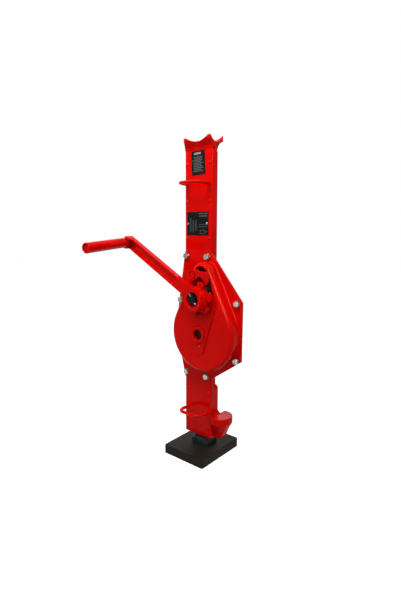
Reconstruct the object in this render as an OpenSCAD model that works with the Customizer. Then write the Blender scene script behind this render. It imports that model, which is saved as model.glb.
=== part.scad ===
// Rack and pinion lifting jack with a steel foot, a rack, a sliding sheet-steel housing,
// a side lifting claw, a horned head and a folding safety crank.
// Millimetres. The origin is the middle of the foot's underside, on the ground.
// +X points to the lifting claw, -Y to the crank and +Z up along the rack.

/* [Foot] */
// Width of the foot plate across the claw side
foot_w = 121.5; // [100:1:160]
// Depth of the foot plate from the crank side to the back
foot_d = 145.5; // [120:1:180]
// Thickness of the foot plate
foot_t = 21.5; // [16:0.5:30]
// Corner radius of the foot plate
foot_corner_r = 5; // [4:1:14]
// Chamfer round the top edge of the foot plate
foot_chamfer = 1.6; // [0.5:0.1:3]
// Width of the forged shoe that holds the rack
shoe_w = 47; // [44:1:54]
// Depth of the rack shoe
shoe_d = 40; // [38:1:46]
// Height of the rack shoe above the foot plate
shoe_h = 17.5; // [12:0.5:18]
// Bevel round the top of the rack shoe
shoe_bevel = 6; // [3:0.5:7]

/* [Rack] */
// Width of the rack over its teeth
rack_w = 36; // [34:0.5:37]
// Depth of the rack
rack_d = 24; // [22:1:26]
// Height of the rack's top end above the ground
rack_top = 708; // [690:1:712]
// How far the rack stands behind the middle of the foot
rack_back = 6.5; // [6:0.5:8]
// Module of the rack teeth
rack_module = 5; // [5]
// Teeth of the pinion that climbs the rack
lift_teeth = 6; // [6]
// Profile shift of the pinions, in modules
tooth_shift = 0.5; // [0.5]
// Pressure angle of every tooth in degrees
pressure_angle = 25; // [25]
// Play between meshing tooth flanks
tooth_play = 0.3; // [0.2:0.05:0.4]

/* [Gear train] */
// Height of the main gear axis above the ground
gear_z = 311.3; // [308:0.1:315]
// Module of the main gear
gear_module = 4; // [4]
// Teeth of the main gear
gear_teeth = 36; // [36]
// Teeth of the crank pinion
crank_teeth = 6; // [6]
// Face width of the main gear
gear_face = 15; // [12:1:16]
// Sideways offset of the crank axis from the main gear axis
crank_offset = 5; // [3:0.5:8]
// Radius of the main shaft where the gear sits
gear_seat_r = 13; // [12.5:0.1:13.4]
// Radius of the main shaft's front journal
front_journal_r = 12.2; // [11.8:0.1:12.4]
// Radius of the main shaft's rear journal
rear_journal_r = 10; // [9:0.5:11]
// Radius of the crank shaft's journals
crank_journal_r = 9; // [8.5:0.1:9.5]
// Radial play of every running fit
running_play = 0.05; // [0.03:0.01:0.08]
// Width of the gear key
key_w = 8; // [6:1:8]
// Length of the gear key
key_len = 12; // [10:1:14]

/* [Housing column] */
// Width of the pressed front channel
column_w = 82; // [80:1:86]
// Middle of the column, measured from the middle of the foot
column_x = 0.5; // [0:0.1:1]
// Distance from the middle of the foot to the front of the column
column_front = 17.3; // [17:0.1:19]
// Height of the column's lower edge above the ground
column_bottom = 47.4; // [47:0.1:52]
// Length of the front channel
column_len = 677; // [670:1:690]
// Sheet thickness of both channels
channel_t = 4; // [3:0.1:4.4]
// Depth of the front channel
channel_depth = 13.4; // [12:0.1:16]
// Outside bend radius of the front channel
channel_bend_r = 5; // [4.5:0.5:7]
// Inside width of the rear channel
rear_inner_w = 38.4; // [37.4:0.1:38.8]
// Play between the rear channel's flanges and the front channel's sides
flange_play = 1; // [0.5:0.1:1.4]
// Play between the rack's back and the rear channel
rack_play = 1.2; // [0.8:0.1:2]
// Drop from the column's upper edge to the first rivet row
rivet_drop = 29.5; // [24:0.5:34]
// Rise from the gear case's flange to the rivet row above it
rivet_above = 31.6; // [24:0.1:36]
// Drop from the gear case's flange to the rivet row below it
rivet_below = 31.6; // [24:0.1:40]
// Rise from the column's lower edge to the last rivet row
rivet_rise = 23.5; // [20:0.5:28]
// Distance of each rivet column from the column's side
rivet_in = 8.1; // [7.9:0.1:8.6]
// Radius of a rivet shank
rivet_r = 2.6; // [2:0.1:2.8]
// Radius of a rivet head
rivet_head_r = 4.8; // [4:0.1:5.5]
// Height of a rivet head
rivet_head_h = 2.6; // [2:0.1:3]

/* [Gear case] */
// Sheet thickness of the gear cover
cover_t = 3.5; // [3:0.1:4]
// Thickness of the side plates behind the cover
wing_t = 3; // [2.5:0.1:4]
// Radius of the domed pressing round the main gear
dome_r = 88; // [86:0.5:90]
// Radius of the dome's nose round the crank
nose_r = 26; // [24:0.5:28]
// Height of the nose's arc above the main gear axis
nose_rise = 138; // [136:1:140]
// Distance of the dome's middle from the main gear axis
dome_shift = 4; // [2:0.5:5]
// Depth of the dome in front of the column
dome_depth = 32.7; // [32:0.1:34]
// Rounding of the dome's front edge
dome_round = 9; // [6:0.5:10]
// Thickness of the bearing plate on the dome
bearing_plate_t = 3; // [2.5:0.1:3]
// Thickness of the bearing plate on the column
inner_plate_t = 5; // [4:0.5:5.5]
// Size of the cover bolts' thread
bolt_r = 4; // [3.5:0.5:4]
// Width across flats of the cover bolts
bolt_flats = 13; // [12:0.5:13.5]
// Height of the cover bolts' heads
bolt_head_h = 5.3; // [4:0.1:6]
// Thickness of the cover bolts' spring washers
washer_t = 1.6; // [1:0.1:2]
// Radius of the cover bolts' spring washers
washer_r = 7; // [6.4:0.1:7.2]
// Height of the cover bolts' nuts
nut_h = 6.5; // [5:0.5:7]
// Distance of the middle cover bolts from the column's side
bolt_in = 10; // [9.8:0.1:11]
// Distance of the upper cover bolts above the dome's nose
bolt_above = 11.6; // [10:0.1:14]
// Distance of the lower cover bolts below the dome
bolt_below = 19.6; // [16:0.1:22]
// Wall of the rear gear box
rear_box_t = 4; // [3:0.5:5]

/* [Claw and head] */
// Width of the lifting claw's shank from front to back
claw_shank_w = 20.5; // [18:0.5:24]
// Thickness of the lifting claw's shank beside the column
claw_shank_t = 14.3; // [12:0.1:16]
// Radius of the lifting claw's round toe
claw_toe_r = 30; // [26:1:32]
// Height of the toe's bearing face above the ground
claw_top = 102; // [96:1:108]
// Height of the shank's top end above the ground
claw_shank_top = 175; // [170:1:184]
// Height of the claw's lowest point above the ground
claw_bottom = 46; // [45.5:0.5:50]
// Width of the head between its front horns
head_w = 77; // [68:1:80]
// Depth of the head from its front to its back horns
head_d = 49; // [44:1:52]
// Middle of the head in front of the middle of the foot
head_front = 2.7; // [1:0.1:4]
// Height of the front horns above the column
horn_front_h = 27; // [22:0.5:32]
// Height of the back horns above the column
horn_back_h = 33; // [28:0.5:38]
// Depth of the saddles between the horns
saddle_drop = 12; // [8:0.5:15]

/* [Bails and labels] */
// Diameter of the bail rod
bail_d = 8; // [7:0.5:9]
// Distance of the bails' legs from the column's side
bail_in = 10; // [9:0.5:12]
// How far a bail stands out from the column
bail_reach = 35; // [28:1:38]
// Bend radius of the bails, to the middle of the rod
bail_bend_r = 15; // [10:1:18]
// Height of the upper bail above the ground
bail_upper_z = 651; // [645:1:656]
// Height of the lower bail above the ground
bail_lower_z = 112; // [106:1:118]
// Width of the upper label
label_upper_w = 39; // [30:1:44]
// Height of the upper label
label_upper_h = 52; // [40:1:60]
// Width of the lower label plate
label_lower_w = 63; // [50:1:64]
// Height of the lower label plate
label_lower_h = 53; // [40:1:60]
// Thickness of the labels
label_t = 0.8; // [0.5:0.1:1]

/* [Crank] */
// Angle of the crank arm at rest, counter-clockwise from +X
crank_angle = 150.65; // [145:0.05:155]
// Distance from the crank axis to the grip's fold pin
crank_len = 238; // [225:1:245]
// Width of the crank arm
crank_arm_w = 26.5; // [24:0.5:28]
// Thickness of the crank arm
crank_arm_t = 13; // [11:0.5:14]
// Offset of the arm's centre line above the crank axis
crank_arm_rise = 6.5; // [4:0.5:7]
// Radius of the crank hub
hub_r = 27.5; // [26:0.5:28]
// Length of the crank hub
hub_len = 14.3; // [12:0.1:16]
// Radius of the pocket for the castle nut
hub_pocket_r = 16.5; // [16:0.1:18]
// Depth of the pocket for the castle nut
hub_pocket = 9; // [7:0.5:10]
// Half width of the recess for the folded grip
recess_half_w = 9; // [8.5:0.1:9.5]
// Depth of the recess for the folded grip
recess_depth = 5; // [4:0.5:6]
// Distance of the fold pin in front of the crank arm
fold_out = 9; // [9:0.5:12]
// Radius of the fold ears and the stem's eye
ear_r = 8; // [7.5:0.5:9]
// Radius of the fold pin
fold_pin_r = 3.5; // [3:0.1:4]
// Angle by which the grip leans towards the hub at rest
grip_lean = 9.9; // [0:0.1:20]
// Length from the fold pin to the end of the grip
grip_reach = 133; // [125:1:145]
// Outside radius of the grip sleeve
grip_r = 12; // [11:0.5:12.5]
// Wall of the grip sleeve
grip_wall = 2.5; // [2:0.1:3]
// Radius of the grip stem
stem_r = 6; // [5:0.5:7]

/* [Ratchet] */
// Number of ratchet teeth
ratchet_teeth = 6; // [6]
// Radius over the ratchet teeth
ratchet_r = 39; // [38:0.5:39]
// Radius at the root of the ratchet teeth
ratchet_root_r = 28; // [27:0.5:30]
// Thickness of the ratchet wheel
ratchet_t = 8.8; // [8:0.1:9]
// Radius of the friction discs
friction_r = 25.5; // [24:0.5:26]
// Thickness of a friction disc
friction_t = 1.1; // [1:0.1:1.2]
// Radius of the pawl's pivot boss
pawl_boss_r = 11.5; // [11:0.5:13]
// Radius of the pawl pin
pawl_pin_r = 5; // [4:0.5:5.5]
// Thickness of the pawl
pawl_t = 8; // [7:0.5:8]

/* [Hidden] */

$fn = 64;
eps = 0.01;
cut = 1;

// Height of the front channel's upper edge
column_top = column_bottom + column_len;
column_left = column_x - column_w / 2;
column_right = column_x + column_w / 2;
rear_outer_w = rear_inner_w + 2 * channel_t;
rear_flange_w = column_w / 2 - channel_t - rear_outer_w / 2 - flange_play;
rivet_dx = column_w / 2 - rivet_in;
bolt_dx = column_w / 2 - bolt_in;
bail_w = column_w - 2 * bail_in;
// Planes from front to back, all measured along Y
web_front = -column_front;
web_back = web_front + channel_t;
lip_back = web_front + channel_depth;
flange_back = web_back + channel_t;
rack_front = rack_back - rack_d / 2;
rack_rear = rack_back + rack_d / 2;
rear_inner = rack_rear + rack_play;
rear_outer = rear_inner + channel_t;
cover_front = web_front - cover_t;
dome_front = web_front - dome_depth;
dome_inner = dome_front + cover_t;
plate_front = dome_front - bearing_plate_t;
inner_plate_front = web_front - inner_plate_t;

// Rack and gear axes
rack_pitch = PI * rack_module;
lift_r = rack_module * lift_teeth / 2;
rack_ref = rack_w / 2 - rack_module;
gear_x = rack_ref + tooth_shift * rack_module + lift_r;
centre_distance = gear_module * (gear_teeth + crank_teeth) / 2;
crank_x = gear_x + crank_offset;
crank_z = gear_z + sqrt(centre_distance * centre_distance - crank_offset * crank_offset);
mesh_angle = atan2(crank_z - gear_z, crank_offset);
tip_trim = 0.4;
lift_tip_r = lift_r + rack_module * (1 + tooth_shift - tip_trim);
lift_root_r = lift_r - rack_module * (1.25 - tooth_shift);
crank_pitch_r = gear_module * crank_teeth / 2;
crank_tip_r = crank_pitch_r + gear_module * (1 + tooth_shift - tip_trim);
crank_root_r = crank_pitch_r - gear_module * (1.25 - tooth_shift);
root_gap = 0.25 * gear_module;
gear_tip_r = centre_distance - crank_root_r - root_gap;
gear_root_r = centre_distance - crank_tip_r - root_gap;
rack_root_x = gear_x - lift_tip_r - root_gap;
rack_teeth_bottom = gear_z - 1.5 * rack_pitch;
rack_teeth = floor((rack_top - rack_teeth_bottom) / rack_pitch);

// Gear train planes
bush_flange_t = 3;
gear_clear = 3.7;
brake_gap = 0.3;
arm_set = 0.4;
seat_clear = 1;
gear_back = inner_plate_front - gear_clear;
gear_front = gear_back - gear_face;
lift_front = lip_back + seat_clear;
seat_back = rack_front - seat_clear;
lift_back = rack_rear;
brake_back = plate_front - brake_gap;
brake_t = 1.7;
disc_rear_front = brake_back - brake_t - friction_t;
ratchet_front = disc_rear_front - ratchet_t;
disc_front_front = ratchet_front - friction_t;
hub_front = disc_front_front - hub_len;
arm_back = disc_front_front - arm_set;
arm_front = arm_back - crank_arm_t;
fold_y = arm_front - fold_out;

// Fills a profile drawn in the X and Z axes between two planes along Y
module slab(y0, y1) {
    translate([0, y1, 0]) rotate([90, 0, 0]) linear_extrude(height = y1 - y0) children();
}

// A round bar or hole along Y
module bar_y(x, z, r, y0, y1) {
    translate([x, y1, z]) rotate([90, 0, 0]) cylinder(r = r, h = y1 - y0);
}

// A ring along Y
module ring_y(x, z, r, bore, y0, y1) {
    difference() {
        bar_y(x, z, r, y0, y1);
        bar_y(x, z, bore, y0 - cut, y1 + cut);
    }
}

// Involute tooth outlines
function inv(a) = tan(a) * 180 / PI - a;
function tooth_half(m, z, shift, rho) =
    (PI / 2 + 2 * shift * tan(pressure_angle)) / z * 180 / PI
    + inv(pressure_angle)
    - inv(acos(min(1, m * z / 2 * cos(pressure_angle) / rho)))
    - tooth_play / 4 / (m * z / 2) * 180 / PI;
function polar(r, a) = [r * cos(a), r * sin(a)];
flank_steps = 5;
function gear_points(m, z, shift, tip, root, phase) =
    let (base = m * z / 2 * cos(pressure_angle), start = max(base, root))
    [for (k = [0 : z - 1])
        let (mid = phase + 360 * k / z)
        each concat(
            [polar(root, mid - tooth_half(m, z, shift, start))],
            [for (i = [0 : flank_steps])
                let (rho = start + (tip - start) * i / flank_steps)
                polar(rho, mid - tooth_half(m, z, shift, rho))],
            [for (i = [flank_steps : -1 : 0])
                let (rho = start + (tip - start) * i / flank_steps)
                polar(rho, mid + tooth_half(m, z, shift, rho))],
            [polar(root, mid + tooth_half(m, z, shift, start))])];

module gear_2d(m, z, shift, tip, root, phase) {
    polygon(gear_points(m, z, shift, tip, root, phase));
}

// Rounded rectangle about its centre, with true arcs
module round_rect(w, h, r) {
    square([w - 2 * r, h], center = true);
    square([w, h - 2 * r], center = true);
    for (x = [-1, 1]) for (y = [-1, 1])
        translate([x * (w / 2 - r), y * (h / 2 - r)]) circle(r = r);
}

// Points along an arc about a centre
function arc(x, z, r, from, to) =
    [for (i = [0 : arc_steps]) [x, z] + polar(r, from + (to - from) * i / arc_steps)];
arc_steps = 24;

// Two arcs and their common tangents as one outline, for the dome's plates
module teardrop(x0, z0, r0, x1, z1, r1) {
    along = atan2(z1 - z0, x1 - x0);
    turn = 90 - asin((r0 - r1) / norm([x1 - x0, z1 - z0]));
    polygon(concat(
        arc(x0, z0, r0, along + turn, along + 360 - turn),
        arc(x1, z1, r1, along - turn, along + turn)));
}

// Foot and rack

module foot_plate() {
    color("#221e1a") difference() {
        union() {
            linear_extrude(height = foot_t - foot_chamfer) round_rect(foot_w, foot_d, foot_corner_r);
            translate([0, 0, foot_t - foot_chamfer])
                linear_extrude(height = foot_chamfer)
                    round_rect(foot_w - foot_chamfer, foot_d - foot_chamfer, foot_corner_r - foot_chamfer / 2);
        }
        // Pocket that takes the rack's spigot
        translate([-spigot_w / 2, rack_back - spigot_d / 2, foot_t - spigot_h])
            cube([spigot_w, spigot_d, spigot_h + cut]);
    }
}
spigot_w_share = 0.55;
spigot_d_share = 0.7;
spigot_h_share = 0.5;
spigot_w = rack_w * spigot_w_share;
spigot_d = rack_d * spigot_d_share;
spigot_h = foot_t * spigot_h_share;
spigot_play = 0.1;
// The shoe stands nearer to the claw side by this share of its wall
shoe_shift_share = 0.3;

// Forged collar welded on the foot, with bevelled flanks and a square bore for the rack
module rack_shoe() {
    shoe_x = (shoe_w - rack_w) * shoe_shift_share;
    module side(h, w, d) {
        translate([shoe_x - w / 2, rack_back - d / 2, foot_t]) cube([w, d, h]);
    }
    step = shoe_bevel / 2;
    color("#3a4142") difference() {
        union() {
            side(shoe_h - 2 * step, shoe_w, shoe_d);
            side(shoe_h - step, shoe_w - step, shoe_d - step);
            side(shoe_h, shoe_w - 2 * step, shoe_d - 2 * step);
        }
        translate([-rack_w / 2 - spigot_play, rack_front - spigot_play, foot_t - cut])
            cube([rack_w + 2 * spigot_play, rack_d + 2 * spigot_play, shoe_h + 2 * cut]);
    }
}

module rack() {
    tip = rack_w / 2;
    thin = tooth_play / 4;
    function half(x) = rack_pitch / 4 - (x - rack_ref) * tan(pressure_angle) - thin;
    color("#4a4a48") {
        slab(rack_front, rack_rear) union() {
            translate([-tip, foot_t]) square([rack_root_x + tip, rack_top - foot_t]);
            translate([-tip, foot_t])
                square([rack_w, rack_teeth_bottom - rack_pitch / 2 - foot_t]);
            for (i = [0 : rack_teeth - 1]) translate([0, rack_teeth_bottom + i * rack_pitch])
                polygon([[rack_root_x - cut, -half(rack_root_x)], [rack_root_x, -half(rack_root_x)],
                    [tip, -half(tip)], [tip, half(tip)],
                    [rack_root_x, half(rack_root_x)], [rack_root_x - cut, half(rack_root_x)]]);
        }
        translate([-spigot_w / 2 + spigot_play, rack_back - spigot_d / 2 + spigot_play,
                foot_t - spigot_h + spigot_play])
            cube([spigot_w - 2 * spigot_play, spigot_d - 2 * spigot_play, spigot_h]);
    }
}

// Housing column

bolt_upper_z = gear_z + nose_rise + nose_r + bolt_above;
bolt_lower_z = gear_z - dome_r - bolt_below;
flange_over = 10;
flange_under = 13;
flange_top_z = bolt_upper_z + flange_over;
flange_bottom_z = bolt_lower_z - flange_under;
rivet_first_z = column_top - rivet_drop;
rivet_third_z = flange_top_z + rivet_above;
rivet_rows = [
    rivet_first_z, (rivet_first_z + rivet_third_z) / 2, rivet_third_z,
    flange_bottom_z - rivet_below, column_bottom + rivet_rise
];

module rivet_holes() {
    for (z = rivet_rows) for (s = [-1, 1])
        bar_y(column_x + s * rivet_dx, z, rivet_r, web_front - cut, flange_back + cut);
}

module shaft_openings(y0, y1) {
    bar_y(gear_x, gear_z, shaft_opening_r, y0, y1);
}
shaft_clear = 1.25;
shaft_opening_r = gear_seat_r + shaft_clear;

module cover_bolt_holes(y0, y1) {
    for (p = bolt_places) bar_y(p[0], p[1], bolt_r, y0, y1);
}

module front_channel() {
    r = channel_bend_r;
    color("#c40808") difference() {
        translate([column_x, 0, column_bottom]) linear_extrude(height = column_len) difference() {
            union() {
                translate([-column_w / 2 + r, web_front]) square([column_w - 2 * r, channel_depth]);
                translate([-column_w / 2, web_front + r]) square([column_w, channel_depth - r]);
                for (s = [-1, 1]) translate([s * (column_w / 2 - r), web_front + r]) circle(r = r);
            }
            union() {
                translate([-column_w / 2 + r, web_back]) square([column_w - 2 * r, channel_depth]);
                translate([-column_w / 2 + channel_t, web_front + r])
                    square([column_w - 2 * channel_t, channel_depth]);
                for (s = [-1, 1]) translate([s * (column_w / 2 - r), web_front + r])
                    circle(r = r - channel_t);
            }
        }
        rivet_holes();
        cover_bolt_holes(web_front - cut, web_back + cut);
        for (z = [bail_upper_z, bail_lower_z]) bail_holes(z);
        shaft_openings(web_front - cut, lip_back + cut);
    }
}

module rear_channel() {
    bottom = column_bottom + rear_rise;
    h = column_len - rear_rise;
    color("#b00606") difference() {
        translate([column_x, 0, bottom]) linear_extrude(height = h) difference() {
            union() {
                translate([-rear_outer_w / 2 - rear_flange_w, web_back])
                    square([rear_outer_w + 2 * rear_flange_w, channel_t]);
                translate([-rear_outer_w / 2, web_back]) square([rear_outer_w, rear_outer - web_back]);
            }
            translate([-rear_inner_w / 2, web_back - cut])
                square([rear_inner_w, rear_inner - web_back + cut]);
        }
        rivet_holes();
        for (p = bolt_places) bar_y(p[0], p[1], nut_clear_r, web_back - cut, flange_back + cut);
        for (z = [bail_upper_z, bail_lower_z]) bail_holes(z);
        // Window through which the pinion reaches the rack
        translate([window_x, web_back - cut, gear_z - window_h / 2])
            cube([rear_outer_w, rear_outer - web_back + 2 * cut, window_h]);
    }
}
rear_rise = 3;
window_edge = 2;
window_clear = 4;
window_x = rack_w / 2 - window_edge;
window_h = 2 * (lift_tip_r + window_clear);

// Bronze-faced pads that guide the rack inside the column
module slide_pads() {
    pad_w = rear_inner_w - 2 * pad_side_play;
    color("#8a7a4a") for (z = [column_bottom + pad_rise, column_top - pad_drop])
        translate([column_x - pad_w / 2, web_back, z])
            cube([pad_w, rack_front - pad_play - web_back, pad_h]);
}

pad_h = 34;
pad_play = 0.6;
pad_side_play = 1;
pad_rise = 8;
pad_drop = 95;

module rivet(x, z) {
    bar_y(x, z, rivet_r, web_front, flange_back);
    translate([x, web_front, z]) rotate([90, 0, 0]) rotate_extrude()
        intersection() {
            translate([0, rivet_head_h - rivet_sphere_r]) circle(r = rivet_sphere_r);
            square([rivet_head_r, rivet_head_h]);
        }
    translate([x, flange_back, z]) rotate([-90, 0, 0]) cylinder(r = rivet_tail_r, h = rivet_head_h / 2);
}
rivet_tail_over = 1.2;
rivet_tail_r = rivet_r + rivet_tail_over;
rivet_sphere_r = (rivet_head_r * rivet_head_r + rivet_head_h * rivet_head_h) / (2 * rivet_head_h);

module channel_rivets() {
    color("#c00808") for (z = rivet_rows) for (s = [-1, 1])
        rivet(column_x + s * rivet_dx, z);
}

// Gear case

dome_x = gear_x + dome_shift;
rim_right = 4.5;
rim_left = 22;
case_upper = 78.7;
case_lower = 55;
case_right = dome_x + dome_r + rim_right;
case_left = column_left - rim_left;
case_upper_z = gear_z + case_upper;
case_lower_z = gear_z - case_lower;
case_belly = 15;
case_bulge = 1.5;
case_taper = 0.5;
flange_inset_left = 4;
flange_inset_right = 1.5;
flange_foot_out = 14;
flange_foot_in = 10;
flange_foot_rise = 3;
side_bolt_left = 13.5;
side_bolt_right = 11.5;
side_bolt_left_z = 70;
side_bolt_upper_z = 76;
side_bolt_lower_z = 53.5;
bolt_places = [
    [column_x - bolt_dx, bolt_upper_z], [column_x + bolt_dx, bolt_upper_z],
    [case_left + side_bolt_left, gear_z + side_bolt_left_z],
    [case_right - side_bolt_right, gear_z + side_bolt_upper_z],
    [case_right - side_bolt_right, gear_z - side_bolt_lower_z],
    [column_x - bolt_dx, bolt_lower_z], [column_x + bolt_dx, bolt_lower_z]
];
module case_outline() {
    polygon([
        [column_left + flange_inset_left, flange_top_z],
        [column_right - flange_inset_right, flange_top_z],
        [case_right, case_upper_z], [case_right - case_taper, case_lower_z],
        [column_right + flange_foot_out, bolt_lower_z + flange_foot_rise],
        [column_right - flange_foot_in, flange_bottom_z],
        [column_left + flange_inset_left, flange_bottom_z],
        [case_left, gear_z - case_belly], [case_left - case_bulge, gear_z + case_belly]
    ]);
}

module wing(side) {
    slab(web_front, web_front + wing_t) difference() {
        intersection() {
            case_outline();
            if (side > 0)
                translate([column_right, 0]) square([case_right, column_top]);
            else
                translate([case_left - column_w, 0]) square([column_left - case_left + column_w, column_top]);
        }
        for (p = bolt_places) translate(p) circle(r = bolt_r);
        translate([gear_x, gear_z]) circle(r = shaft_opening_r);
    }
}
module left_wing_plate() { color("#b80707") wing(-1); }
module right_wing_plate() { color("#b80707") wing(1); }

// Welded box behind the right wing that closes the pinion and carries the rear bearing
box_left = column_x + rear_inner_w / 4;
box_clear = 8;
box_over = 9;
box_boss = 3;
box_gap = 0.5;
box_right = gear_x + lift_tip_r + box_clear + rear_box_t;
box_h = window_h + 2 * box_over;
box_back = rear_outer;
box_boss_back = box_back + rear_box_t + box_boss;
module rear_gear_box() {
    z0 = gear_z - box_h / 2;
    side_x = column_x + rear_outer_w / 2;
    color("#a80606") difference() {
        union() {
            translate([box_left, box_back, z0])
                cube([box_right - box_left, box_boss_back - box_back, box_h]);
            translate([side_x, lip_back + box_gap, z0])
                cube([box_right - side_x, box_back - lip_back, box_h]);
            translate([column_right + box_gap, web_front + wing_t, z0])
                cube([box_right - column_right - box_gap, channel_depth, box_h]);
        }
        translate([side_x - cut, web_front, z0 + rear_box_t])
            cube([box_right - side_x - rear_box_t + cut, box_back - web_front, box_h - 2 * rear_box_t]);
        bar_y(gear_x, gear_z, bush_r, box_back - cut, box_boss_back + cut);
    }
}
bush_r = 16;

// Plate on the column that ties the two shafts at their exact distance
module inner_bearing_plate() {
    color("#3a3632") slab(inner_plate_front, web_front) difference() {
        teardrop(gear_x, gear_z, inner_plate_r, dome_x, gear_z + nose_rise, nose_r - inner_plate_in);
        translate([gear_x, gear_z]) circle(r = shaft_opening_r);
        translate([crank_x, crank_z]) circle(r = inner_bush_r);
    }
}
inner_plate_r = 34;
inner_plate_in = 10;
inner_bush_wall = 3;
inner_bush_r = crank_journal_r + inner_bush_wall;
bush_proud = 0.5;

module inner_bush() {
    color("#a08040") ring_y(crank_x, crank_z, inner_bush_r, crank_journal_r + running_play,
        inner_plate_front - bush_proud, web_front);
}

// One blank with a rounded front edge, used for the dome and for its hollow
module dome_blank(inset, front, back) {
    module disc(r, z) {
        e = dome_round - inset;
        translate([dome_x, 0, z]) rotate([90, 0, 0]) rotate_extrude($fn = 96) union() {
            square([r - inset, -front - e]);
            square([r - inset - e, -front]);
            intersection() {
                translate([r - inset - e, -front - e]) circle(r = e, $fn = 32);
                translate([0, -front - e]) square([r, e]);
            }
        }
    }
    intersection() {
        hull() {
            disc(dome_r, gear_z);
            disc(nose_r, gear_z + nose_rise);
        }
        translate([dome_x - 2 * dome_r, front - cut, gear_z - 2 * dome_r])
            cube([4 * dome_r, back - front + cut, 5 * dome_r]);
    }
}

// Mouth in the dome's nose in front of which the pawl and the ratchet work
mouth_edge = 10;
mouth_nose_edge = 8;
mouth_rise = 9;
mouth_boss_r = 24;
mouth_cut = 2;
module mouth_2d() {
    difference() {
        teardrop(dome_x, gear_z, dome_r - mouth_edge, dome_x, gear_z + nose_rise,
            nose_r - mouth_nose_edge);
        translate([dome_x - dome_r, 0]) square([2 * dome_r, crank_z + mouth_rise]);
        translate([crank_x, crank_z]) circle(r = mouth_boss_r);
        pawl_lug_2d();
    }
}

module gear_cover() {
    color("#c40808") difference() {
        union() {
            slab(cover_front, web_front) case_outline();
            dome_blank(0, dome_front, web_front);
        }
        dome_blank(cover_t, dome_inner, web_front + cut);
        bar_y(gear_x, gear_z, bush_r, dome_front - cut, dome_inner + cut);
        bar_y(crank_x, crank_z, crank_bush_r, dome_front - cut, dome_inner + cut);
        slab(dome_front - cut, dome_inner + mouth_cut) mouth_2d();
        cover_bolt_holes(cover_front - cut, web_front + cut);
    }
}
crank_bush_wall = 5;
crank_bush_r = crank_journal_r + crank_bush_wall;

// Lug that carries the pawl pin, left of the nose
pawl_back_off = 13.5;
pawl_rise = 52.35;
pawl_x = crank_x - pawl_back_off;
pawl_z = crank_z + pawl_rise;
lug_over = 0.5;
lug_root_r = 22;
lug_root_x = 49.5;
lug_root_z = 40;
module pawl_lug_2d() {
    teardrop(pawl_x, pawl_z, pawl_boss_r + lug_over, pawl_x - lug_root_x, pawl_z - lug_root_z, lug_root_r);
}

// Kite-shaped plate on the dome that carries both front bearings and the pawl pin
module cover_bearing_plate() {
    color("#c00707") slab(plate_front, dome_front) difference() {
        intersection() {
            union() {
                teardrop(crank_x - kite_x, crank_z - kite_z, kite_r, gear_x + kite_tip_x,
                    gear_z - kite_drop, kite_tip_r);
                pawl_lug_2d();
            }
            teardrop(dome_x, gear_z, dome_r - dome_round + kite_over, dome_x, gear_z + nose_rise,
                nose_r - dome_round + kite_over);
        }
        mouth_2d();
        translate([gear_x, gear_z]) circle(r = bush_r);
        translate([crank_x, crank_z]) circle(r = crank_bush_r);
        translate([pawl_x, pawl_z]) circle(r = pawl_pin_r);
        for (p = plate_rivet_places) translate(p) circle(r = rivet_r);
    }
}
kite_x = 3;
kite_z = 4;
kite_r = 47;
kite_tip_x = 2;
kite_tip_r = 12;
kite_drop = 36;
kite_over = 3;
plate_rivet_x = 10;
plate_rivet_rise = 45.5;
plate_rivet_tip_x = 3;
plate_rivet_drop = 29;
plate_rivet_places = [
    [gear_x + plate_rivet_x, gear_z + plate_rivet_rise],
    [gear_x + plate_rivet_tip_x, gear_z - plate_rivet_drop]
];

module bearing_plate_rivets() {
    color("#b80707") for (p = plate_rivet_places) {
        bar_y(p[0], p[1], rivet_r, plate_front, dome_front);
        translate([p[0], plate_front, p[1]]) rotate([90, 0, 0]) rotate_extrude()
            intersection() {
                translate([0, rivet_head_h - rivet_sphere_r]) circle(r = rivet_sphere_r);
                square([rivet_head_r, rivet_head_h]);
            }
    }
}

module gear_shaft_bush() {
    color("#b80606") difference() {
        union() {
            bar_y(gear_x, gear_z, bush_r, plate_front - bush_flange_t, dome_inner + bush_in);
            bar_y(gear_x, gear_z, bush_r + bush_collar, plate_front - bush_flange_t, plate_front);
        }
        bar_y(gear_x, gear_z, front_journal_r + running_play, plate_front - bush_flange_t - cut,
            dome_inner + bush_in + cut);
    }
}
bush_in = 4;
bush_collar = 3.5;
crank_bush_in = 3;

module crank_shaft_bush() {
    color("#a08040") ring_y(crank_x, crank_z, crank_bush_r, crank_journal_r + running_play,
        plate_front, dome_inner + crank_bush_in);
}

module rear_bush() {
    color("#a08040") ring_y(gear_x, gear_z, bush_r, rear_journal_r + running_play,
        box_back, box_boss_back);
}

// Hexagon prism along -Y, seated on the plane y = seat
module hex_head(x, z, flats, h, seat, turn) {
    translate([x, seat, z]) rotate([90, turn, 0]) cylinder(r = flats / sqrt(3), h = h, $fn = 6);
}

module cover_bolts() {
    color("#c8c8c4") for (i = [0 : len(bolt_places) - 1]) {
        p = bolt_places[i];
        intersection() {
            hex_head(p[0], p[1], bolt_flats, bolt_head_h, cover_front - washer_t, bolt_turn * i);
            // Round chamfer on the corners of the head
            translate([p[0], cover_front - washer_t + eps, p[1]]) rotate([90, 0, 0])
                cylinder(r1 = bolt_flats / sqrt(3) + bolt_cone, r2 = bolt_flats / 2 - bolt_face_in,
                    h = bolt_head_h + 2 * eps);
        }
        bar_y(p[0], p[1], bolt_r, cover_front - washer_t, bolt_back(p) + nut_h + bolt_end);
    }
}
// Each bolt stopped at its own angle
bolt_turn = 17;
bolt_cone = 1.5;
bolt_face_in = 0.3;
bolt_end = 2;
// The nuts sit on the channel's web inside the column, and on the wings beside it
function bolt_back(p) =
    (p[0] > column_left && p[0] < column_right) ? web_back : web_front + wing_t;

module cover_washers() {
    color("#b8b8b4") for (p = bolt_places)
        ring_y(p[0], p[1], washer_r, bolt_r, cover_front - washer_t, cover_front);
}

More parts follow.
